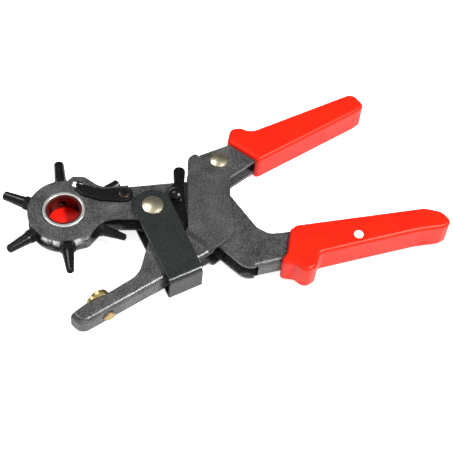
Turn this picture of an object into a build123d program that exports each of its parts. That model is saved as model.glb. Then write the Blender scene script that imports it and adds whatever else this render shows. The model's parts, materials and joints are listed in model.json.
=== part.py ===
"""Rotary hole punch: two folded-sheet levers crossed like pliers, with a six-tube punch wheel.

The tool lies flat. Z runs through its thickness, X from the punch wheel towards the grips,
and all outlines are drawn from the main pivot's axis, with Z measured from the middle plane.
Outline corners are given as (x, y, corner radius).
"""

from build123d import *
from math import cos, hypot, radians, sin, sqrt
import os

# Where the main pivot's axis and the middle plane stand in the part's own frame
PIVOT_X = -40.847
PIVOT_Y = -4.451
MIDDLE_Z = 10.5

# Levels of the sheets above the middle plane; the back half mirrors the front
SHEET = 2.0
UPPER_SHEET = 1.6
UPPER_OUTER = 6.0
UPPER_INNER = UPPER_OUTER - UPPER_SHEET
LOWER_OUTER = 6.2
LOWER_INNER = LOWER_OUTER - SHEET
RAISED_OUTER = 8.9
RAISED_INNER = RAISED_OUTER - SHEET
JAW_BEND = 3.0
HANDLE_BEND = 3.2
HEAD_BEND = 2.4
STRAP_BEND = 3.2

# Punch wheel, and the round end of the head plates that hold it
HEAD_RADIUS = 20.0
WHEEL_X = -48.8
WHEEL_Y = -1.3
WHEEL_RADIUS = 18.4
WHEEL_HALF_WIDTH = 4.1
HUB_RADIUS = 11.9
HUB_TOP = 7.0
HUB_EDGE = 0.5
BORE_RADIUS = 9.9
LINER_WALL = 1.1
LINER_TOP = 6.3
LINER_FLOOR = -6.2
RUNNING_FIT = 0.06
NOTCH_RADIUS = 2.2
NOTCH_DEPTH = 0.9
GROOVE_LEVEL = -3.1
GROOVE_WIDTH = 0.8
GROOVE_DEPTH = 0.6

# Punch tubes, each with the diameter of the hole it cuts
HOLE_SIZES = (2.5, 2.0, 4.5, 4.0, 3.5, 3.0)
TUBE_STEP = 60
WORKING_TUBE_ANGLE = 277
TIP_RADIUS = 37.0
COLLAR_END = 23.6
COLLAR_FLAT = 3.8
NECK_RADIUS = 3.3
STUB_RADIUS = 2.9
STUB_START = 10.4
EDGE_WALL = 0.85
CUTTING_BEVEL = 0.6
CUTTING_EDGE = 0.2
LINER_HOLE_CLEARANCE = 0.3

# Main hinge: closing swings the head until the working tube meets the anvil
CLOSING_ANGLE = 21.5
HINGE_PIN_RADIUS = 3.0
HINGE_HEAD_RADIUS = 5.9
HINGE_HEAD_HEIGHT = 1.6
BUSH_RADIUS = 4.4

# Return spring, wound round the hinge bush
SPRING_WIRE = 1.4
SPRING_COIL_RADIUS = 5.8
SPRING_TURNS = 4
SPRING_PITCH = 1.08 * SPRING_WIRE
SPRING_UPPER_LEAN = -0.12
SPRING_LOWER_LEAN = 0.16
SPRING_LEG_OVERLAP = 0.6
SPRING_UPPER_LEG = 16.2
SPRING_LOWER_LEG = 32.0

# Stop rivet in the upper handle
STOP_X = 37.8
STOP_Y = 33.7
STOP_PIN_RADIUS = 2.4
STOP_HEAD_RADIUS = 4.9
STOP_HEAD_HEIGHT = 1.3
SLEEVE_RADIUS = 4.2

# Anvil
ANVIL_RADIUS = 5.2
ANVIL_TILT = -3
ANVIL_PAD = 2.6
ANVIL_THICKNESS = 4.5
SEAT_LENGTH = 12.8
SEAT_SHIFT = -1.3
SEAT_HALF_WIDTH = 5.6
ANVIL_BOSS_RADIUS = 3.6
ANVIL_BOSS_END = 9.0
ANVIL_OFFSET = 2.2
ANVIL_SHANK_RADIUS = 2.5
ANVIL_REACH = 14.45
ANVIL_END_RADIUS = 3.4
ANVIL_END_HEIGHT = 0.5
ANVIL_PROUD = 0.3

# Pivot strap
STRAP_RADIUS = 10.4
STRAP_ANGLE = -68
STRAP_LENGTH = 49.5
STRAP_FOOT_TILT = 4
STRAP_TAPER = 1.3
WELD_PAD_RADIUS = 3.0
WELD_X = 12.0
WELD_Y = -32.0

# Detent arm
DETENT_X = -15.6
DETENT_Y = 8.6
DETENT_BOTTOM = UPPER_OUTER + 0.1
DETENT_TOP = 8.3
DETENT_PIN_RADIUS = 1.6
DETENT_COIL_RADIUS = 2.2
DETENT_COIL_DEPTH = 1.2
DETENT_COIL_WIRE = 0.25
DETENT_WASHER_RADIUS = 2.95
DETENT_WASHER_HEIGHT = 0.5
DETENT_HEAD_RADIUS = 2.7
DETENT_HEAD_HEIGHT = 1.3
DETENT_SOCKET_RADIUS = 1.35
DETENT_SOCKET_FLOOR = 0.3
DETENT_GAP = 0.05
SHANK_THROUGH = 0.6
DETENT_TOOTH = 1.1
DETENT_TOOTH_ANGLE = WORKING_TUBE_ANGLE + 2.5 * TUBE_STEP
TOOTH_RADIUS = 17.15
TOOTH_END = 4.3

# Lock lever
LOCK_X = 13.0
LOCK_Y = 8.0
LOCK_BLADE_BOTTOM = UPPER_OUTER + 0.1
LOCK_BLADE_TOP = RAISED_INNER - 0.1
LOCK_BODY_TOP = 9.2
LOCK_PIN_RADIUS = 1.5
LOCK_KNOB_RADIUS = 4.1
LOCK_KNOB_HEIGHT = 2.4
LOCK_KNOB_RIM = 0.4
LOCK_KNOB_GAP = 0.1

# Grips
GRIP_HALF_WIDTH = 9.0
GRIP_EDGE = 2.2
HANG_HOLE_X = 112.8
HANG_HOLE_Y = -19.6
HANG_HOLE_RADIUS = 2.6
EYELET_BORE = 1.9

# Joggle that lifts the middle of the lower-jaw frame over the head
FOLD_ANGLE = 49
FOLD_LOW = 0.8
FOLD_HIGH = 43.1
RAMP = 2.2
REACH = 150

UPPER_OUTLINE = [
    (-47.4, 19.0, 3),
    (-44.6, 21.9, 3),
    (-38.0, 21.7, 3.5),
    (-28.5, 14.0, 12),
    (-19.3, 15.2, 20),
    (22.0, 19.8, 5),
    (37.6, 18.0, 3),
    (57.2, -12.8, 10),
    (64.0, -17.2, 8),
    (75.0, -15.8, 10),
    (142.0, -4.8, 3),
    (142.0, -16.6, 0),
    (50.3, -39.8, 9),
    (22.0, -11.2, 4),
    (5.0, -12.0, 10),
    (-8.6, -6.6, 8),
    (-27.0, -6.6, 14),
    (-35.0, -18.4, 6),
    (-46.0, -20.4, 3),
]
# The space between the two plates; it stops one sheet inside the edges that carry a web
UPPER_HOLLOW = [
    (-80.0, -50.0, 0),
    (-80.0, 40.0, 0),
    (-13.5, 40.0, 0),
    (-13.5, 14.24, 1),
    (20.5, 18.02, 1),
    (20.5, 40.0, 0),
    (160.0, 40.0, 0),
    (160.0, -10.4, 0),
    (57.0, -36.46, 1),
    (57.0, -60.0, 0),
]

# The upper-jaw frame's web: under the head's top edge, then along the handle, with the sheet on the left
UPPER_WEBS = [[(20.5, 19.63), (-13.5, 15.85)], [(55.3, -38.54), (142.0, -16.6)]]

LOWER_OUTLINE = [
    (19.3, -15.0, 1.5),
    (20.0, 33.9, 5.5),
    (26.9, 37.0, 0),
    (48.0, 46.2, 0),
    (112.5, 76.2, 0),
    (117.0, 69.6, 3),
    (60.4, 34.8, 10),
    (43.9, 21.9, 3),
    (43.2, 8.1, 12),
    (44.6, -18.6, 10),
    (33.2, -28.3, 0),
    (-37.7, -74.6, 6),
    (-43.0, -68.4, 0),
    (-35.3, -61.8, 8),
    (-25.5, -56.3, 20),
    (-7.5, -43.7, 14),
    (-1.0, -16.5, 5),
    (14.0, -19.2, 2),
]
LOWER_HOLLOW = [
    (10.0, 0.0, 0),
    (10.0, 55.0, 0),
    (50.0, 55.0, 0),
    (50.0, 44.93, 0),
    (113.3, 74.4, 0),
    (140.0, 60.0, 0),
    (60.0, -40.0, 0),
    (26.0, -40.0, 0),
    (26.0, -30.6, 1),
    (-37.3, -72.0, 4),
    (-41.0, -67.6, 0),
    (-36.0, -50.0, 0),
    (-10.0, -12.0, 0),
]

# The upper handle's web, with the sheet on its left, and the middle of the lower jaw's web
HANDLE_WEB = [(112.5, 76.2), (50.0, 47.13)]
JAW_WEB_MIDDLE = (-2.0, -51.3)

UPPER_GRIP_OUTLINE = [
    (43.0, 45.6, 2.6),
    (45.0, 55.0, 4),
    (51.0, 56.2, 4),
    (57.0, 53.2, 8),
    (118.9, 82.9, 5),
    (126.0, 73.2, 4),
    (120.0, 68.4, 6),
    (60.6, 31.6, 2.6),
]
LOWER_GRIP_OUTLINE = [
    (75.2, -15.6, 2.6),
    (79.0, -12.6, 3),
    (152.0, -0.9, 12),
    (161.5, -3.4, 7),
    (167.2, -10.8, 4),
    (161.0, -14.6, 8),
    (147.5, -16.6, 20),
    (110.0, -26.4, 40),
    (90.6, -31.6, 4),
    (88.6, -39.6, 4),
    (82.6, -44.0, 5),
    (77.0, -38.6, 4),
    (67.8, -37.4, 2.4),
    (72.8, -30.4, 3),
]

DETENT_OUTLINE = [
    (-42.4, 11.6, 1),
    (-41.6, 15.8, 0.8),
    (-34.6, 13.6, 10),
    (-28.0, 12.0, 10),
    (-15.6, 13.2, 4),
    (-11.0, 12.4, 3.6),
    (-10.9, 4.4, 3.6),
    (-18.4, 3.8, 4),
    (-29.0, 4.6, 20),
    (-39.4, 8.2, 5),
]
DETENT_WINDOW = [
    (-45.2, 15.6, 0.5),
    (-44.0, 19.4, 0.5),
    (-38.6, 17.6, 0.5),
    (-39.8, 13.0, 0.5),
]
LOCK_BLADE_OUTLINE = [
    (9.6, 11.6, 3),
    (17.3, 11.4, 3),
    (17.9, 2.0, 3),
    (19.5, -14.0, 0.8),
    (17.8, -14.3, 0.8),
    (9.8, 4.2, 3),
]
LOCK_BODY_OUTLINE = [
    (11.6, 26.9, 3.2),
    (18.6, 26.6, 3.2),
    (17.6, 15.6, 3),
    (17.6, 4.9, 3.6),
    (9.6, 4.5, 3.6),
    (8.6, 11.9, 3.6),
    (12.0, 15.6, 3),
]


def tool_plane(height=0.0, x=0.0, y=0.0):
    """A plane parallel to the sheets, its origin counted from the pivot axis and the middle plane."""
    return Plane(origin=(PIVOT_X + x, PIVOT_Y + y, MIDDLE_Z + height))


def upright_plane(angle, x=0.0, y=0.0, offset=0.0):
    """A plane square to the direction at this angle in the tool's plane, with its own Y along +Z."""
    direction = Vector(cos(radians(angle)), sin(radians(angle)), 0)
    origin = Vector(PIVOT_X + x, PIVOT_Y + y, MIDDLE_Z) + direction * offset
    across = Vector(-direction.Y, direction.X, 0)
    return Plane(origin=origin, x_dir=across, z_dir=direction)


def length_plane(angle, x=0.0, y=0.0):
    """A plane through Z and the direction at this angle: its own X runs along the direction, Y along +Z."""
    direction = Vector(cos(radians(angle)), sin(radians(angle)), 0)
    normal = Vector(direction.Y, -direction.X, 0)
    return Plane(origin=(PIVOT_X + x, PIVOT_Y + y, MIDDLE_Z), x_dir=direction, z_dir=normal)


def add_outline(corners, mode=Mode.ADD):
    """Adds a closed outline with rounded corners to the sketch that is being drawn."""
    points = [(x, y) for x, y, radius in corners]
    corner_radii = [radius for x, y, radius in corners]
    with BuildLine() as line:
        FilletPolyline(*points, radius=corner_radii, close=True)
    make_face(line.edges(), mode=mode)


def swing(x, y, angle):
    """A point of the tool's plane after the head has swung by this angle about the main pivot."""
    turn = radians(angle)
    return x * cos(turn) - y * sin(turn), x * sin(turn) + y * cos(turn)


def left_of(start, end):
    """The unit direction from start to end, and the one square to it on its left."""
    length = hypot(end[0] - start[0], end[1] - start[1])
    along = Vector((end[0] - start[0]) / length, (end[1] - start[1]) / length, 0)
    return length, along, Vector(-along.Y, along.X, 0)


def bend_cutter(start, end, height, radius):
    """What rounds off both long edges of a straight web; the sheet lies on the left of start to end."""
    length, along, inward = left_of(start, end)
    foot = Plane(origin=(PIVOT_X + start[0], PIVOT_Y + start[1], MIDDLE_Z), x_dir=inward, z_dir=along)
    with BuildPart() as cutter:
        with BuildSketch(foot):
            with Locations((0, height), (0, -height)):
                Rectangle(2 * radius, 2 * radius)
            with Locations((radius, height - radius), (radius, radius - height)):
                Circle(radius, mode=Mode.SUBTRACT)
        extrude(amount=length)
    return cutter.part


def dome_middle(radius, rise):
    """Where the round section of a low dome passes half-way out from its axis, counted from its rim."""
    sphere = (rise**2 + radius**2) / (2 * rise)
    return radius / 2, rise - sphere + sqrt(sphere**2 - (radius / 2) ** 2)


def domed_rivet(x, y, bottom, top, pin_radius, head_radius, head_height):
    """A rivet through the tool from bottom to top, with a low dome on each end."""
    rim = 0.25 * head_height
    bulge, swell = dome_middle(head_radius, head_height - rim)
    with BuildPart() as rivet:
        with BuildSketch(length_plane(0, x, y)):
            with BuildLine():
                Line((0, bottom - head_height), (0, top + head_height))
                ThreePointArc((0, top + head_height), (bulge, top + rim + swell), (head_radius, top + rim))
                Polyline(
                    (head_radius, top + rim),
                    (head_radius, top),
                    (pin_radius, top),
                    (pin_radius, bottom),
                    (head_radius, bottom),
                    (head_radius, bottom - rim),
                )
                ThreePointArc(
                    (head_radius, bottom - rim), (bulge, bottom - rim - swell), (0, bottom - head_height)
                )
            make_face()
        revolve(axis=Axis((PIVOT_X + x, PIVOT_Y + y, 0), (0, 0, 1)))
    return rivet


def punch_axis(index):
    """The direction of one tube from the wheel's centre."""
    return WORKING_TUBE_ANGLE + TUBE_STEP * index


def make_upper_jaw_frame():
    """Head plates, upper jaw and lower handle, folded from one sheet."""
    with BuildPart() as frame:
        with BuildSketch(tool_plane(-UPPER_OUTER)):
            add_outline(UPPER_OUTLINE)
            with Locations((WHEEL_X, WHEEL_Y)):
                Circle(HEAD_RADIUS)
        extrude(amount=2 * UPPER_OUTER)
        for (start, end), radius in zip(UPPER_WEBS, (HEAD_BEND, HANDLE_BEND)):
            add(bend_cutter(start, end, UPPER_OUTER, radius), mode=Mode.SUBTRACT)
        with BuildSketch(tool_plane(-UPPER_INNER)):
            add_outline(UPPER_HOLLOW)
        extrude(amount=2 * UPPER_INNER, mode=Mode.SUBTRACT)
        with BuildSketch(tool_plane(-UPPER_OUTER)):
            Circle(HINGE_PIN_RADIUS + RUNNING_FIT)
            with Locations((WHEEL_X, WHEEL_Y)):
                Circle(HUB_RADIUS + RUNNING_FIT)
        extrude(amount=2 * UPPER_OUTER, mode=Mode.SUBTRACT)
        with BuildSketch(tool_plane(-UPPER_OUTER, HANG_HOLE_X, HANG_HOLE_Y)):
            Circle(HANG_HOLE_RADIUS)
        extrude(amount=2 * UPPER_OUTER, mode=Mode.SUBTRACT)
        with BuildSketch(tool_plane(0)):
            add_outline(DETENT_WINDOW)
            with Locations((DETENT_X, DETENT_Y)):
                Circle(DETENT_PIN_RADIUS)
            with Locations((LOCK_X, LOCK_Y)):
                Circle(LOCK_PIN_RADIUS)
        extrude(amount=UPPER_OUTER, mode=Mode.SUBTRACT)
    return frame


def fold_section(outer, base):
    """Section of the raised middle across its two folds, from the level base up to outer on both sides."""
    for sense in (1, -1):
        with BuildLine() as line:
            Polyline(
                (FOLD_LOW - RAMP, 0),
                (FOLD_LOW - RAMP, sense * base),
                (FOLD_LOW, sense * outer),
                (FOLD_HIGH, sense * outer),
                (FOLD_HIGH + RAMP, sense * base),
                (FOLD_HIGH + RAMP, 0),
                close=True,
            )
        make_face(line.edges())


def raised_middle(corners, outer, base):
    """The part of an outline that lies between the two folds, with its thickness given by fold_section."""
    with BuildPart() as middle:
        with BuildSketch(tool_plane(0)):
            add_outline(corners)
        extrude(amount=outer, both=True)
        with BuildSketch(length_plane(FOLD_ANGLE)):
            fold_section(outer, base)
        extrude(amount=REACH, both=True, mode=Mode.INTERSECT)
    return middle.part


def make_lower_jaw_frame():
    """Lower jaw and upper handle, folded from one sheet and joggled outwards over the head."""
    outside = raised_middle(LOWER_OUTLINE, RAISED_OUTER, LOWER_OUTER)
    inside = raised_middle(LOWER_HOLLOW, RAISED_INNER, LOWER_INNER)
    with BuildPart() as frame:
        with BuildSketch(tool_plane(0)):
            add_outline(LOWER_OUTLINE)
        extrude(amount=LOWER_OUTER, both=True)
        add(bend_cutter(*HANDLE_WEB, LOWER_OUTER, HANDLE_BEND), mode=Mode.SUBTRACT)
        web_x, web_y = JAW_WEB_MIDDLE
        for level in (LOWER_OUTER, -LOWER_OUTER):
            point = (PIVOT_X + web_x, PIVOT_Y + web_y, MIDDLE_Z + level)
            fillet(frame.edges().sort_by_distance(point)[0], JAW_BEND)
        add(outside)
        with BuildSketch(tool_plane(0)):
            add_outline(LOWER_HOLLOW)
        extrude(amount=LOWER_INNER, both=True, mode=Mode.SUBTRACT)
        add(inside, mode=Mode.SUBTRACT)
        with BuildSketch(tool_plane(-RAISED_OUTER, STOP_X, STOP_Y)):
            Circle(STOP_PIN_RADIUS)
        extrude(amount=2 * RAISED_OUTER, mode=Mode.SUBTRACT)
        anvil_x, anvil_y = anvil_centre()
        with BuildSketch(upright_plane(anvil_normal() + 180, anvil_x, anvil_y)):
            Circle(ANVIL_SHANK_RADIUS)
        extrude(amount=2 * ANVIL_REACH, mode=Mode.SUBTRACT)
    return frame


def anvil_normal():
    """The direction the anvil's face looks: back along the working tube when the tool is closed."""
    return WORKING_TUBE_ANGLE + CLOSING_ANGLE - 180 + ANVIL_TILT


def anvil_centre():
    """Centre of the anvil's face, where the working tube's tip lands."""
    angle = radians(WORKING_TUBE_ANGLE)
    tip = (WHEEL_X + TIP_RADIUS * cos(angle), WHEEL_Y + TIP_RADIUS * sin(angle))
    x, y = swing(*tip, CLOSING_ANGLE)
    along = radians(anvil_normal() + 90)
    return x + ANVIL_OFFSET * cos(along), y + ANVIL_OFFSET * sin(along)


def make_anvil():
    """Brass pad on a seat across the jaw's two edges, with a shank through the jaw's web."""
    x, y = anvil_centre()
    down = anvil_normal() + 180
    with BuildPart() as anvil:
        with BuildSketch(upright_plane(down, x, y)):
            Circle(ANVIL_RADIUS)
        extrude(amount=ANVIL_THICKNESS)
        chamfer(anvil.faces().sort_by(Axis.Y)[-1].edges(), 0.4)
        with BuildSketch(upright_plane(down, x, y, ANVIL_PAD)):
            with Locations((SEAT_SHIFT, 0)):
                RectangleRounded(SEAT_LENGTH, 2 * SEAT_HALF_WIDTH, 3.5)
        extrude(amount=ANVIL_THICKNESS - ANVIL_PAD)
        with BuildSketch(upright_plane(down, x, y, ANVIL_THICKNESS)):
            Circle(ANVIL_BOSS_RADIUS)
        extrude(amount=ANVIL_BOSS_END - ANVIL_THICKNESS)
        with BuildSketch(upright_plane(down, x, y, ANVIL_THICKNESS)):
            Circle(ANVIL_SHANK_RADIUS)
        extrude(amount=ANVIL_REACH + ANVIL_END_HEIGHT + ANVIL_PROUD - ANVIL_THICKNESS)
    return anvil


def make_anvil_washer():
    """Copper washer under the jaw's web; the anvil's shank is headed over it."""
    x, y = anvil_centre()
    with BuildPart() as washer:
        with BuildSketch(upright_plane(anvil_normal() + 180, x, y, ANVIL_REACH)):
            Circle(ANVIL_END_RADIUS)
            Circle(ANVIL_SHANK_RADIUS, mode=Mode.SUBTRACT)
        extrude(amount=ANVIL_END_HEIGHT)
    return washer


def make_pivot_strap():
    """U-shaped strap round the lower jaw; its two rounded ends carry the hinge rivet."""
    along = radians(STRAP_ANGLE)
    foot = radians(STRAP_ANGLE + 90 + STRAP_FOOT_TILT)
    foot_x = STRAP_LENGTH * cos(along)
    foot_y = STRAP_LENGTH * sin(along)
    side_x = STRAP_RADIUS * sin(along)
    side_y = STRAP_RADIUS * cos(along)
    half_foot = STRAP_RADIUS / cos(radians(STRAP_FOOT_TILT))
    left = (foot_x - half_foot * cos(foot), foot_y - half_foot * sin(foot))
    right = (foot_x + (half_foot - STRAP_TAPER) * cos(foot), foot_y + (half_foot - STRAP_TAPER) * sin(foot))
    bend_start = (left[0] - STRAP_BEND * cos(foot), left[1] - STRAP_BEND * sin(foot))
    bend_end = (right[0] + STRAP_BEND * cos(foot), right[1] + STRAP_BEND * sin(foot))
    inward = (-sin(foot) * SHEET, cos(foot) * SHEET)
    past = STRAP_LENGTH
    with BuildPart() as strap:
        with BuildSketch(tool_plane(-RAISED_OUTER)):
            with BuildLine():
                Polyline((side_x, -side_y), left, right, (-side_x, side_y))
                RadiusArc((-side_x, side_y), (side_x, -side_y), -STRAP_RADIUS)
            make_face()
        extrude(amount=2 * RAISED_OUTER)
        add(bend_cutter(bend_start, bend_end, RAISED_OUTER, STRAP_BEND), mode=Mode.SUBTRACT)
        with BuildSketch(tool_plane(-RAISED_INNER)):
            add_outline(
                [
                    (left[0] - past * cos(foot) + inward[0], left[1] - past * sin(foot) + inward[1], 0),
                    (right[0] + past * cos(foot) + inward[0], right[1] + past * sin(foot) + inward[1], 0),
                    (past, past, 0),
                    (-past, past, 0),
                ]
            )
        extrude(amount=2 * RAISED_INNER, mode=Mode.SUBTRACT)
        with BuildSketch(tool_plane(0)):
            Circle(HINGE_PIN_RADIUS)
        extrude(amount=RAISED_OUTER, both=True, mode=Mode.SUBTRACT)
        for level in (LOWER_OUTER, -RAISED_INNER):
            with BuildSketch(tool_plane(level)):
                with Locations((WELD_X, WELD_Y)):
                    Circle(WELD_PAD_RADIUS)
            extrude(amount=RAISED_INNER - LOWER_OUTER)
    return strap


def make_hinge_bush():
    """Steel bush that keeps the head plates apart round the hinge rivet."""
    with BuildPart() as bush:
        with BuildSketch(tool_plane(-UPPER_INNER + RUNNING_FIT)):
            Circle(BUSH_RADIUS)
            Circle(HINGE_PIN_RADIUS, mode=Mode.SUBTRACT)
        extrude(amount=2 * (UPPER_INNER - RUNNING_FIT))
        chamfer(bush.edges().filter_by(GeomType.CIRCLE).group_by(SortBy.RADIUS)[-1], 0.4)
    return bush


def make_spacer_sleeve():
    """Sleeve on the stop rivet; the head's top edge comes up to it when the tool is closed."""
    with BuildPart() as sleeve:
        with BuildSketch(tool_plane(-LOWER_INNER, STOP_X, STOP_Y)):
            Circle(SLEEVE_RADIUS)
            Circle(STOP_PIN_RADIUS, mode=Mode.SUBTRACT)
        extrude(amount=2 * LOWER_INNER)
    return sleeve


def make_return_spring():
    """Torsion spring round the hinge bush: one leg up to the head's top web, one down to the jaw's web."""
    height = SPRING_TURNS * SPRING_PITCH
    with BuildPart() as spring:
        with BuildLine() as coil:
            Helix(
                pitch=SPRING_PITCH,
                height=height,
                radius=SPRING_COIL_RADIUS,
                center=(PIVOT_X, PIVOT_Y, MIDDLE_Z - height / 2),
            )
        with BuildSketch(Plane(coil.line @ 0, z_dir=coil.line % 0)):
            Circle(SPRING_WIRE / 2)
        sweep(path=coil.line, is_frenet=True)
        top = MIDDLE_Z + height / 2
        bottom = MIDDLE_Z - height / 2
        start_x = PIVOT_X + SPRING_COIL_RADIUS
        upper_start = (start_x, PIVOT_Y - SPRING_LEG_OVERLAP, top)
        with BuildSketch(Plane(origin=upper_start, z_dir=(SPRING_UPPER_LEAN, 1, 0))):
            Circle(SPRING_WIRE / 2)
        extrude(amount=SPRING_UPPER_LEG)
        lower_start = (start_x, PIVOT_Y + SPRING_LEG_OVERLAP, bottom)
        with BuildSketch(Plane(origin=lower_start, z_dir=(SPRING_LOWER_LEAN, -1, 0))):
            Circle(SPRING_WIRE / 2)
        extrude(amount=SPRING_LOWER_LEG)
    return spring


def make_punch_wheel():
    """Wheel between the head plates; its hub turns in both plates and its rim holds the tubes."""
    middle = tool_plane(0, WHEEL_X, WHEEL_Y)
    with BuildPart() as wheel:
        with BuildSketch(middle):
            Circle(WHEEL_RADIUS)
        extrude(amount=WHEEL_HALF_WIDTH, both=True)
        chamfer(wheel.edges().filter_by(GeomType.CIRCLE), 0.5)
        with BuildSketch(tool_plane(GROOVE_LEVEL, WHEEL_X, WHEEL_Y)):
            Circle(WHEEL_RADIUS + 1)
            Circle(WHEEL_RADIUS - GROOVE_DEPTH, mode=Mode.SUBTRACT)
        extrude(amount=GROOVE_WIDTH, mode=Mode.SUBTRACT)
        with BuildSketch(middle):
            Circle(HUB_RADIUS)
        extrude(amount=HUB_TOP, both=True)
        with BuildSketch(middle):
            Circle(BORE_RADIUS)
        extrude(amount=HUB_TOP, both=True, mode=Mode.SUBTRACT)
        levels = wheel.edges().filter_by(GeomType.CIRCLE).group_by(Axis.Z)
        fillet(levels[0] + levels[-1], HUB_EDGE)
        for index in range(len(HOLE_SIZES)):
            angle = punch_axis(index)
            with BuildSketch(upright_plane(angle, WHEEL_X, WHEEL_Y)):
                Circle(STUB_RADIUS)
            extrude(amount=WHEEL_RADIUS + 1, mode=Mode.SUBTRACT)
            notch = radians(angle + TUBE_STEP / 2)
            notch_x = WHEEL_X + (WHEEL_RADIUS + NOTCH_RADIUS - NOTCH_DEPTH) * cos(notch)
            notch_y = WHEEL_Y + (WHEEL_RADIUS + NOTCH_RADIUS - NOTCH_DEPTH) * sin(notch)
            with BuildSketch(tool_plane(0, notch_x, notch_y)):
                Circle(NOTCH_RADIUS)
            extrude(amount=WHEEL_HALF_WIDTH, both=True, mode=Mode.SUBTRACT)
    return wheel


def make_slug_liner():
    """Plastic cup in the wheel's bore that catches the cut slugs; open towards the front."""
    with BuildPart() as liner:
        with BuildSketch(tool_plane(LINER_FLOOR, WHEEL_X, WHEEL_Y)):
            Circle(BORE_RADIUS)
        extrude(amount=LINER_TOP - LINER_FLOOR)
        with BuildSketch(tool_plane(LINER_FLOOR + LINER_WALL, WHEEL_X, WHEEL_Y)):
            Circle(BORE_RADIUS - LINER_WALL)
        extrude(amount=LINER_TOP - LINER_FLOOR, mode=Mode.SUBTRACT)
        for index, hole in enumerate(HOLE_SIZES):
            with BuildSketch(upright_plane(punch_axis(index), WHEEL_X, WHEEL_Y)):
                Circle(hole / 2 + LINER_HOLE_CLEARANCE)
            extrude(amount=BORE_RADIUS + 1, mode=Mode.SUBTRACT)
    return liner


def make_punch_tube(index):
    """One hardened tube: a stub in the wheel, a hexagon on its rim, and a taper to the cutting edge."""
    bore = HOLE_SIZES[index] / 2
    tip = bore + EDGE_WALL
    angle = punch_axis(index)
    rim = WHEEL_RADIUS + RUNNING_FIT
    with BuildPart() as tube:
        with BuildSketch(length_plane(angle, WHEEL_X, WHEEL_Y)):
            with BuildLine():
                Polyline(
                    (STUB_START, bore),
                    (STUB_START, STUB_RADIUS),
                    (rim, STUB_RADIUS),
                    (rim, NECK_RADIUS),
                    (COLLAR_END + 1.0, NECK_RADIUS),
                    (TIP_RADIUS - CUTTING_BEVEL, tip),
                    (TIP_RADIUS, bore + CUTTING_EDGE),
                    (TIP_RADIUS, bore),
                    close=True,
                )
            make_face()
        direction = (cos(radians(angle)), sin(radians(angle)), 0)
        revolve(axis=Axis((PIVOT_X + WHEEL_X, PIVOT_Y + WHEEL_Y, MIDDLE_Z), direction))
        with BuildSketch(upright_plane(angle, WHEEL_X, WHEEL_Y, rim)):
            RegularPolygon(COLLAR_FLAT, 6, major_radius=False)
            Circle(STUB_RADIUS, mode=Mode.SUBTRACT)
        extrude(amount=COLLAR_END - rim)
    return tube


def make_detent_arm():
    """Sprung arm on the front plate; its tooth reaches through the window to the wheel's rim."""
    tooth_angle = radians(DETENT_TOOTH_ANGLE)
    tooth_x = WHEEL_X + (TOOTH_RADIUS + DETENT_TOOTH) * cos(tooth_angle)
    tooth_y = WHEEL_Y + (TOOTH_RADIUS + DETENT_TOOTH) * sin(tooth_angle)
    with BuildPart() as arm:
        with BuildSketch(tool_plane(DETENT_BOTTOM)):
            add_outline(DETENT_OUTLINE)
        extrude(amount=DETENT_TOP - DETENT_BOTTOM)
        fillet(arm.faces().sort_by(Axis.Z)[-1].edges(), 0.5)
        with BuildSketch(tool_plane(TOOTH_END, tooth_x, tooth_y)):
            Circle(DETENT_TOOTH)
        extrude(amount=DETENT_TOP - 1 - TOOTH_END)
        with BuildSketch(tool_plane(DETENT_BOTTOM, DETENT_X, DETENT_Y)):
            Circle(DETENT_PIN_RADIUS + RUNNING_FIT)
        extrude(amount=DETENT_TOP, mode=Mode.SUBTRACT)
        with BuildSketch(tool_plane(DETENT_BOTTOM, DETENT_X, DETENT_Y)):
            Circle(DETENT_COIL_RADIUS + 0.5)
        extrude(amount=DETENT_COIL_DEPTH, mode=Mode.SUBTRACT)
    return arm


def make_detent_spring():
    """Small coil hidden under the arm's boss, round its screw."""
    with BuildPart() as spring:
        with BuildSketch(length_plane(0, DETENT_X, DETENT_Y)):
            for turn in range(2):
                level = DETENT_BOTTOM + DETENT_COIL_WIRE + DETENT_GAP + 2 * turn * DETENT_COIL_WIRE
                with Locations((DETENT_COIL_RADIUS, level)):
                    Circle(DETENT_COIL_WIRE)
            with Locations((DETENT_COIL_RADIUS, DETENT_BOTTOM + 2 * DETENT_COIL_WIRE + DETENT_GAP)):
                Rectangle(DETENT_COIL_WIRE, DETENT_COIL_WIRE)
        upright = Axis((PIVOT_X + DETENT_X, PIVOT_Y + DETENT_Y, 0), (0, 0, 1))
        revolve(axis=upright, revolution_arc=340)
    return spring


def make_detent_washer():
    """Copper washer between the arm and its screw's head."""
    with BuildPart() as washer:
        with BuildSketch(tool_plane(DETENT_TOP + DETENT_GAP, DETENT_X, DETENT_Y)):
            Circle(DETENT_WASHER_RADIUS)
            Circle(DETENT_PIN_RADIUS + RUNNING_FIT, mode=Mode.SUBTRACT)
        extrude(amount=DETENT_WASHER_HEIGHT)
    return washer


def make_detent_screw():
    """Socket-head screw that the arm turns on, threaded into the front plate."""
    head_bottom = DETENT_TOP + DETENT_GAP + DETENT_WASHER_HEIGHT
    shank_end = UPPER_INNER - SHANK_THROUGH
    with BuildPart() as screw:
        with BuildSketch(tool_plane(shank_end, DETENT_X, DETENT_Y)):
            Circle(DETENT_PIN_RADIUS)
        extrude(amount=head_bottom - shank_end)
        with BuildSketch(tool_plane(head_bottom, DETENT_X, DETENT_Y)):
            Circle(DETENT_HEAD_RADIUS)
        extrude(amount=DETENT_HEAD_HEIGHT)
        fillet(screw.faces().sort_by(Axis.Z)[-1].edges(), 0.4)
        with BuildSketch(tool_plane(head_bottom + DETENT_SOCKET_FLOOR, DETENT_X, DETENT_Y)):
            RegularPolygon(DETENT_SOCKET_RADIUS, 6)
        extrude(amount=DETENT_HEAD_HEIGHT, mode=Mode.SUBTRACT)
    return screw


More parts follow.
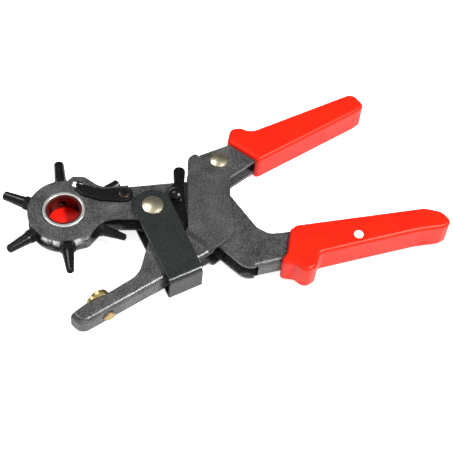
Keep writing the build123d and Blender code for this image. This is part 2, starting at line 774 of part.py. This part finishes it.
def make_lock_lever():
    """Thin blade under the strap and the raised middle, with a thick thumb lobe above the head."""
    with BuildPart() as lever:
        with BuildSketch(tool_plane(LOCK_BLADE_BOTTOM)):
            add_outline(LOCK_BLADE_OUTLINE)
        extrude(amount=LOCK_BLADE_TOP - LOCK_BLADE_BOTTOM)
        with BuildSketch(tool_plane(LOCK_BLADE_BOTTOM)):
            add_outline(LOCK_BODY_OUTLINE)
        extrude(amount=LOCK_BODY_TOP - LOCK_BLADE_BOTTOM)
        fillet(lever.faces().sort_by(Axis.Z)[-1].edges(), 0.9)
        with BuildSketch(tool_plane(LOCK_BLADE_BOTTOM, LOCK_X, LOCK_Y)):
            Circle(LOCK_PIN_RADIUS + RUNNING_FIT)
        extrude(amount=LOCK_BODY_TOP, mode=Mode.SUBTRACT)
    return lever


def make_lock_pin():
    """Pin of the lock lever, with a domed knob on top and a shank fixed in the front plate."""
    knob = LOCK_BODY_TOP + LOCK_KNOB_GAP
    rim = LOCK_KNOB_RIM
    shank_end = UPPER_INNER - SHANK_THROUGH
    bulge, swell = dome_middle(LOCK_KNOB_RADIUS, LOCK_KNOB_HEIGHT - rim)
    with BuildPart() as pin:
        with BuildSketch(length_plane(0, LOCK_X, LOCK_Y)):
            with BuildLine():
                Polyline(
                    (0, knob + LOCK_KNOB_HEIGHT),
                    (0, shank_end),
                    (LOCK_PIN_RADIUS, shank_end),
                    (LOCK_PIN_RADIUS, knob),
                    (LOCK_KNOB_RADIUS, knob),
                    (LOCK_KNOB_RADIUS, knob + rim),
                )
                ThreePointArc(
                    (LOCK_KNOB_RADIUS, knob + rim), (bulge, knob + rim + swell), (0, knob + LOCK_KNOB_HEIGHT)
                )
            make_face()
        revolve(axis=Axis((PIVOT_X + LOCK_X, PIVOT_Y + LOCK_Y, 0), (0, 0, 1)))
    return pin


def make_grip(corners, handle, hang_hole=False):
    """Dipped grip: a rounded sleeve, closed at its far end, over one handle."""
    with BuildPart() as grip:
        with BuildSketch(tool_plane(-GRIP_HALF_WIDTH)):
            add_outline(corners)
        extrude(amount=2 * GRIP_HALF_WIDTH)
        rims = grip.faces().filter_by(Axis.Z).edges()
        fillet(rims, GRIP_EDGE)
        with BuildSketch(tool_plane(-handle[1])):
            add_outline(handle[0])
        extrude(amount=2 * handle[1], mode=Mode.SUBTRACT)
        if hang_hole:
            with BuildSketch(tool_plane(-GRIP_HALF_WIDTH, HANG_HOLE_X, HANG_HOLE_Y)):
                Circle(HANG_HOLE_RADIUS)
            extrude(amount=2 * GRIP_HALF_WIDTH, mode=Mode.SUBTRACT)
    return grip


def make_hang_eyelet():
    """White plastic tube that lines the hang hole."""
    with BuildPart() as eyelet:
        with BuildSketch(tool_plane(-GRIP_HALF_WIDTH, HANG_HOLE_X, HANG_HOLE_Y)):
            Circle(HANG_HOLE_RADIUS)
            Circle(EYELET_BORE, mode=Mode.SUBTRACT)
        extrude(amount=2 * GRIP_HALF_WIDTH)
    return eyelet


hinge_rivet = domed_rivet(
    0, 0, -RAISED_OUTER, RAISED_OUTER, HINGE_PIN_RADIUS, HINGE_HEAD_RADIUS, HINGE_HEAD_HEIGHT
)
stop_rivet = domed_rivet(
    STOP_X, STOP_Y, -LOWER_OUTER, LOWER_OUTER, STOP_PIN_RADIUS, STOP_HEAD_RADIUS, STOP_HEAD_HEIGHT
)
pieces = {
    "upper_jaw_frame": make_upper_jaw_frame(),
    "lower_jaw_frame": make_lower_jaw_frame(),
    "pivot_strap": make_pivot_strap(),
    "hinge_rivet": hinge_rivet,
    "hinge_bush": make_hinge_bush(),
    "stop_rivet": stop_rivet,
    "spacer_sleeve": make_spacer_sleeve(),
    "return_spring": make_return_spring(),
    "upper_grip": make_grip(UPPER_GRIP_OUTLINE, (LOWER_OUTLINE, LOWER_OUTER)),
    "lower_grip": make_grip(LOWER_GRIP_OUTLINE, (UPPER_OUTLINE, UPPER_OUTER), hang_hole=True),
    "hang_eyelet": make_hang_eyelet(),
    "punch_wheel": make_punch_wheel(),
    "slug_liner": make_slug_liner(),
    "anvil": make_anvil(),
    "anvil_washer": make_anvil_washer(),
    "detent_arm": make_detent_arm(),
    "detent_spring": make_detent_spring(),
    "detent_washer": make_detent_washer(),
    "detent_screw": make_detent_screw(),
    "lock_lever": make_lock_lever(),
    "lock_pin": make_lock_pin(),
}
for index in range(len(HOLE_SIZES)):
    pieces[f"punch_tube_{index + 1}"] = make_punch_tube(index)

os.makedirs("parts", exist_ok=True)
for name, piece in pieces.items():
    piece.part.label = name
    export_step(piece.part, f"parts/{name}.step")
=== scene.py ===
"""Studio scene for the rotary hole punch: materials, fine detail, light and the camera."""
import json
import math
import bmesh
import bpy
from mathutils import Matrix, Vector


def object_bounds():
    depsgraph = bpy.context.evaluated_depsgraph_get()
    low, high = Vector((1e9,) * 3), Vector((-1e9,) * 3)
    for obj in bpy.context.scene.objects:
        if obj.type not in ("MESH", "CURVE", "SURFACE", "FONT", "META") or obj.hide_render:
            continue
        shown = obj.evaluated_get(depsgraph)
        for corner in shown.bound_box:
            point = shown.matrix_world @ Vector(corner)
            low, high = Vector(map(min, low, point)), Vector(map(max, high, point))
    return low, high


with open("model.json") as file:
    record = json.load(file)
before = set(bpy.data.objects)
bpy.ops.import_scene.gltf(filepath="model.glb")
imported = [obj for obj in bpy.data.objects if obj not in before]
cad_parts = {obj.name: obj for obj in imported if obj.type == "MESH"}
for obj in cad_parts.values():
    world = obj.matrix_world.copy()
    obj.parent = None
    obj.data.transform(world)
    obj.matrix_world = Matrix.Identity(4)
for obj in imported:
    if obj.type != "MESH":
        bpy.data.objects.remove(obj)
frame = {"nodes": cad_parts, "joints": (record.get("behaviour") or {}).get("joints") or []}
cad_low, cad_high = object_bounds()

MM = 0.001
LINER_FLOOR = 5.5 * MM
# Painted shade on the liner: its red darkens over this rise above the cup's floor.
LINER_PAINTED_SHADE_RISE = 2.2 * MM
FLOOR_GAP = 0.2 * MM
FLOOR_HALF_SIDE = 3.0
CAMERA_DISTANCE = 700 * MM
CAMERA_ELEVATION = math.radians(55)
CAMERA_AZIMUTH = math.radians(-6.7)
CAMERA_ROLL = math.radians(-5.5)
PIVOT_TO_VIEW_CENTRE = Vector((40.96, -8.17, 0)) * MM
joints = {joint["name"]: joint for joint in frame["joints"]}
pivot = Vector(joints["main_pivot"]["pos_m"])


# ---------------------------------------------------------------- materials


def new_material(name):
    """An empty node material with its surface shader, and short ways to add nodes and links."""
    material = bpy.data.materials.new(name)
    material.use_nodes = True
    tree = material.node_tree
    shader = tree.nodes["Principled BSDF"]

    def add(kind, **values):
        node = tree.nodes.new(kind)
        for key, value in values.items():
            setattr(node, key, value)
        return node

    return material, shader, add, tree.links.new


def noise(add, link, coordinates, scale, detail=4.0, roughness=0.55):
    """A noise texture in metres, so scale is features per metre."""
    node = add("ShaderNodeTexNoise")
    node.inputs["Scale"].default_value = scale
    node.inputs["Detail"].default_value = detail
    node.inputs["Roughness"].default_value = roughness
    link(coordinates, node.inputs["Vector"])
    return node.outputs["Fac"]


def ramp(add, link, value, low, high, dark, light):
    """Maps a value between low and high onto two colours."""
    node = add("ShaderNodeValToRGB")
    node.color_ramp.elements[0].position = low
    node.color_ramp.elements[1].position = high
    node.color_ramp.elements[0].color = (*dark, 1)
    node.color_ramp.elements[1].color = (*light, 1)
    link(value, node.inputs["Fac"])
    return node.outputs["Color"]


def remap(add, link, value, low, high, to_low, to_high):
    """Maps a value linearly from one range onto another."""
    node = add("ShaderNodeMapRange")
    node.inputs["From Min"].default_value = low
    node.inputs["From Max"].default_value = high
    node.inputs["To Min"].default_value = to_low
    node.inputs["To Max"].default_value = to_high
    link(value, node.inputs["Value"])
    return node.outputs["Result"]


def bump(add, link, height, strength, distance, onto=None):
    """A bump of this height in metres."""
    node = add("ShaderNodeBump")
    node.inputs["Strength"].default_value = strength
    node.inputs["Distance"].default_value = distance
    link(height, node.inputs["Height"])
    if onto is not None:
        link(onto, node.inputs["Normal"])
    return node.outputs["Normal"]


def soft_edges(add, radius):
    """A normal that is rounded over every sharp edge by this radius, so that edges catch the light."""
    node = add("ShaderNodeBevel", samples=8)
    node.inputs["Radius"].default_value = radius
    return node.outputs["Normal"]


def powder_coat(name, dark, light, gloss, grain, texture):
    """Hammered powder coat: fine speckle, low bumps, and slow patches of tone."""
    material, shader, add, link = new_material(name)
    place = add("ShaderNodeTexCoord").outputs["Object"]
    speckle = noise(add, link, place, grain, 3.0, 0.65)
    patches = noise(add, link, place, 90, 2.0)
    mixed = add("ShaderNodeMath", operation="MULTIPLY_ADD")
    link(patches, mixed.inputs[0])
    mixed.inputs[1].default_value = 0.35
    link(speckle, mixed.inputs[2])
    link(ramp(add, link, mixed.outputs[0], 0.56, 0.92, dark, light), shader.inputs["Base Color"])
    link(remap(add, link, speckle, 0.3, 0.7, gloss - 0.06, gloss + 0.08), shader.inputs["Roughness"])
    shader.inputs["Specular IOR Level"].default_value = 0.5
    edges = soft_edges(add, 0.35 * MM)
    link(bump(add, link, speckle, texture, 0.12 * MM, edges), shader.inputs["Normal"])
    return material


def bare_metal(name, colour, gloss, brushing):
    """Plated or machined metal with faint grain and handling marks."""
    material, shader, add, link = new_material(name)
    place = add("ShaderNodeTexCoord").outputs["Object"]
    smudge = noise(add, link, place, 180, 3.0)
    dark = [0.9 * c for c in colour]
    link(ramp(add, link, smudge, 0.3, 0.7, dark, colour), shader.inputs["Base Color"])
    link(remap(add, link, smudge, 0.3, 0.7, gloss - 0.02, gloss + 0.04), shader.inputs["Roughness"])
    shader.inputs["Metallic"].default_value = 1.0
    scratches = noise(add, link, place, 2600, 2.0)
    edges = soft_edges(add, 0.2 * MM)
    link(bump(add, link, scratches, brushing, 0.04 * MM, edges), shader.inputs["Normal"])
    return material


def dipped_vinyl(name, colour, deep):
    """Soft dipped vinyl: slightly uneven, with a satin skin."""
    material, shader, add, link = new_material(name)
    place = add("ShaderNodeTexCoord").outputs["Object"]
    cloud = noise(add, link, place, 55, 3.0)
    link(ramp(add, link, cloud, 0.3, 0.7, deep, colour), shader.inputs["Base Color"])
    grain = noise(add, link, place, 1500, 3.0)
    waves = noise(add, link, place, 60, 1.0)
    first = bump(add, link, grain, 0.12, 0.08 * MM, soft_edges(add, 0.4 * MM))
    link(bump(add, link, waves, 0.25, 0.6 * MM, first), shader.inputs["Normal"])
    link(remap(add, link, grain, 0.3, 0.7, 0.3, 0.42), shader.inputs["Roughness"])
    shader.inputs["Specular IOR Level"].default_value = 0.4
    shader.inputs["Specular Tint"].default_value = (1.0, 0.5, 0.38, 1)
    return material


def moulded(name, colour, gloss, shine=0.5, painted_glow=0.0):
    """Gloss moulded plastic, enamel or oxide with a faint orange-peel skin; the glow argument is painted
    light, a self-glow that makes it look backlit.
    """
    material, shader, add, link = new_material(name)
    place = add("ShaderNodeTexCoord").outputs["Object"]
    peel = noise(add, link, place, 700, 2.0)
    dark = [0.8 * c for c in colour]
    link(ramp(add, link, peel, 0.35, 0.65, dark, colour), shader.inputs["Base Color"])
    link(remap(add, link, peel, 0.3, 0.7, gloss - 0.03, gloss + 0.05), shader.inputs["Roughness"])
    link(bump(add, link, peel, 0.06, 0.1 * MM, soft_edges(add, 0.3 * MM)), shader.inputs["Normal"])
    shader.inputs["Specular IOR Level"].default_value = shine
    # Painted light: the glow makes the surface give off its own colour.
    shader.inputs["Emission Color"].default_value = (*colour, 1)
    shader.inputs["Emission Strength"].default_value = painted_glow
    return material


def liner_with_painted_shade(name, bright, dark, floor_level):
    """Gloss red plastic with painted shade: bright on the cup's floor, falling to a dark red up its wall.
    """
    material, shader, add, link = new_material(name)
    place = add("ShaderNodeTexCoord").outputs["Object"]
    parts = add("ShaderNodeSeparateXYZ")
    link(place, parts.inputs["Vector"])
    # Painted shade: the red turns dark with height above the cup's floor.
    height = remap(add, link, parts.outputs["Z"], floor_level, floor_level + LINER_PAINTED_SHADE_RISE, 0.0, 1.0)
    link(ramp(add, link, height, 0.1, 0.9, bright, dark), shader.inputs["Base Color"])
    peel = noise(add, link, place, 700, 2.0)
    link(remap(add, link, peel, 0.3, 0.7, 0.3, 0.4), shader.inputs["Roughness"])
    shader.inputs["Specular IOR Level"].default_value = 0.3
    return material


frame_coat = powder_coat("frame_coat", (0.015, 0.016, 0.0155), (0.125, 0.127, 0.122), 0.24, 1900, 0.7)
strap_coat = powder_coat("strap_coat", (0.013, 0.015, 0.015), (0.022, 0.025, 0.025), 0.24, 1200, 0.06)
black_oxide = moulded("black_oxide", (0.004, 0.004, 0.004), 0.26, 0.3)
black_gloss = moulded("black_gloss", (0.003, 0.003, 0.003), 0.24, 0.3)
black_satin = moulded("black_satin", (0.004, 0.004, 0.004), 0.28, 0.3)
zinc = bare_metal("zinc", (0.7, 0.7, 0.69), 0.34, 0.06)
nickel = bare_metal("nickel", (0.74, 0.68, 0.49), 0.27, 0.03)
brass = bare_metal("brass", (0.5, 0.39, 0.17), 0.36, 0.06)
copper = bare_metal("copper", (0.36, 0.23, 0.17), 0.4, 0.06)
spring_steel = bare_metal("spring_steel", (0.3, 0.3, 0.31), 0.3, 0.08)
vinyl = dipped_vinyl("vinyl", (0.76, 0.016, 0.004), (0.6, 0.01, 0.003))
# The liner's wall carries painted shade, a dark red rising from a bright floor.
liner_red = liner_with_painted_shade("liner_red", (0.82, 0.01, 0.003), (0.05, 0.003, 0.002), LINER_FLOOR)
# Painted light: the white eyelet glows so its bore reads bright white.
eyelet_white = moulded("eyelet_white", (0.85, 0.85, 0.84), 0.3, painted_glow=0.45)

FINISHES = {
    "upper_jaw_frame": frame_coat,
    "lower_jaw_frame": frame_coat,
    "pivot_strap": strap_coat,
    "hinge_rivet": nickel,
    "stop_rivet": nickel,
    "hinge_bush": spring_steel,
    "spacer_sleeve": spring_steel,
    "return_spring": spring_steel,
    "upper_grip": vinyl,
    "lower_grip": vinyl,
    "hang_eyelet": eyelet_white,
    "punch_wheel": zinc,
    "slug_liner": liner_red,
    "anvil": brass,
    "anvil_washer": copper,
    "detent_arm": black_satin,
    "detent_spring": spring_steel,
    "detent_washer": copper,
    "detent_screw": black_oxide,
    "lock_lever": black_gloss,
    "lock_pin": black_gloss,
}

for name, node in frame["nodes"].items():
    finish = FINISHES.get(name, black_oxide)
    node.data.materials.clear()
    node.data.materials.append(finish)


# ---------------------------------------------------------------- camera


def aim_camera():
    """The camera looks down on the tool from the lower-jaw side, a little turned and tilted."""
    target = pivot + PIVOT_TO_VIEW_CENTRE
    right = Vector((math.cos(CAMERA_AZIMUTH), math.sin(CAMERA_AZIMUTH), 0))
    level = Vector((-math.sin(CAMERA_AZIMUTH), math.cos(CAMERA_AZIMUTH), 0))
    forward = level * math.cos(CAMERA_ELEVATION) - Vector((0, 0, math.sin(CAMERA_ELEVATION)))
    up = right.cross(forward)
    side = right * math.cos(CAMERA_ROLL) - up * math.sin(CAMERA_ROLL)
    top = right * math.sin(CAMERA_ROLL) + up * math.cos(CAMERA_ROLL)
    data = bpy.data.cameras.new("camera")
    data.sensor_width = 36
    data.lens = 100.1
    camera = bpy.data.objects.new("camera", data)
    bpy.context.scene.collection.objects.link(camera)
    turn = Matrix((side, top, -forward)).transposed().to_4x4()
    camera.matrix_world = Matrix.Translation(target - forward * CAMERA_DISTANCE) @ turn
    bpy.context.scene.camera = camera


aim_camera()


# ---------------------------------------------------------------- floor and light


def make_floor():
    """A wide pale floor just below the tool."""
    mesh = bpy.data.meshes.new("floor")
    shape = bmesh.new()
    bmesh.ops.create_grid(shape, x_segments=1, y_segments=1, size=FLOOR_HALF_SIDE)
    shape.to_mesh(mesh)
    shape.free()
    floor = bpy.data.objects.new("floor", mesh)
    floor.location.z = cad_low.z - FLOOR_GAP
    bpy.context.scene.collection.objects.link(floor)
    material, shader, add, link = new_material("floor_paper")
    shader.inputs["Base Color"].default_value = (0.85, 0.85, 0.85, 1)
    shader.inputs["Roughness"].default_value = 0.9
    shader.inputs["Emission Color"].default_value = (1, 1, 1, 1)
    seen = add("ShaderNodeLightPath").outputs["Is Camera Ray"]
    link(remap(add, link, seen, 0.0, 1.0, 0.1, 0.8), shader.inputs["Emission Strength"])
    mesh.materials.append(material)


def add_softbox(name, place, size, power):
    """A square area light, aimed at the middle of the tool."""
    data = bpy.data.lights.new(name, "AREA")
    data.size = size
    data.energy = power
    light = bpy.data.objects.new(name, data)
    light.location = place
    light.rotation_euler = (-Vector(place)).to_track_quat("-Z", "Y").to_euler()
    bpy.context.scene.collection.objects.link(light)


def make_surroundings():
    """Studio walls: bright in front of the tool and above it, darker behind."""
    world = bpy.data.worlds.new("studio")
    world.use_nodes = True
    tree = world.node_tree
    place = tree.nodes.new("ShaderNodeTexCoord")
    parts = tree.nodes.new("ShaderNodeSeparateXYZ")
    depth = tree.nodes.new("ShaderNodeMapRange")
    depth.inputs["From Min"].default_value = -1.0
    depth.inputs["From Max"].default_value = 0.7
    depth.inputs["To Min"].default_value = 0.55
    depth.inputs["To Max"].default_value = 0.12
    tree.links.new(place.outputs["Generated"], parts.inputs["Vector"])
    tree.links.new(parts.outputs["Y"], depth.inputs["Value"])
    tree.links.new(depth.outputs["Result"], tree.nodes["Background"].inputs["Strength"])
    tree.nodes["Background"].inputs["Color"].default_value = (1, 1, 1, 1)
    bpy.context.scene.world = world


make_floor()
make_surroundings()
add_softbox("top", (-0.5, 0.3, 1.0), 0.4, 5)
add_softbox("key", (0.6, -0.28, 0.95), 0.22, 18)
add_softbox("front", (0.1, -1.1, 0.35), 0.4, 2.5)

bpy.context.scene.view_settings.view_transform = "Standard"
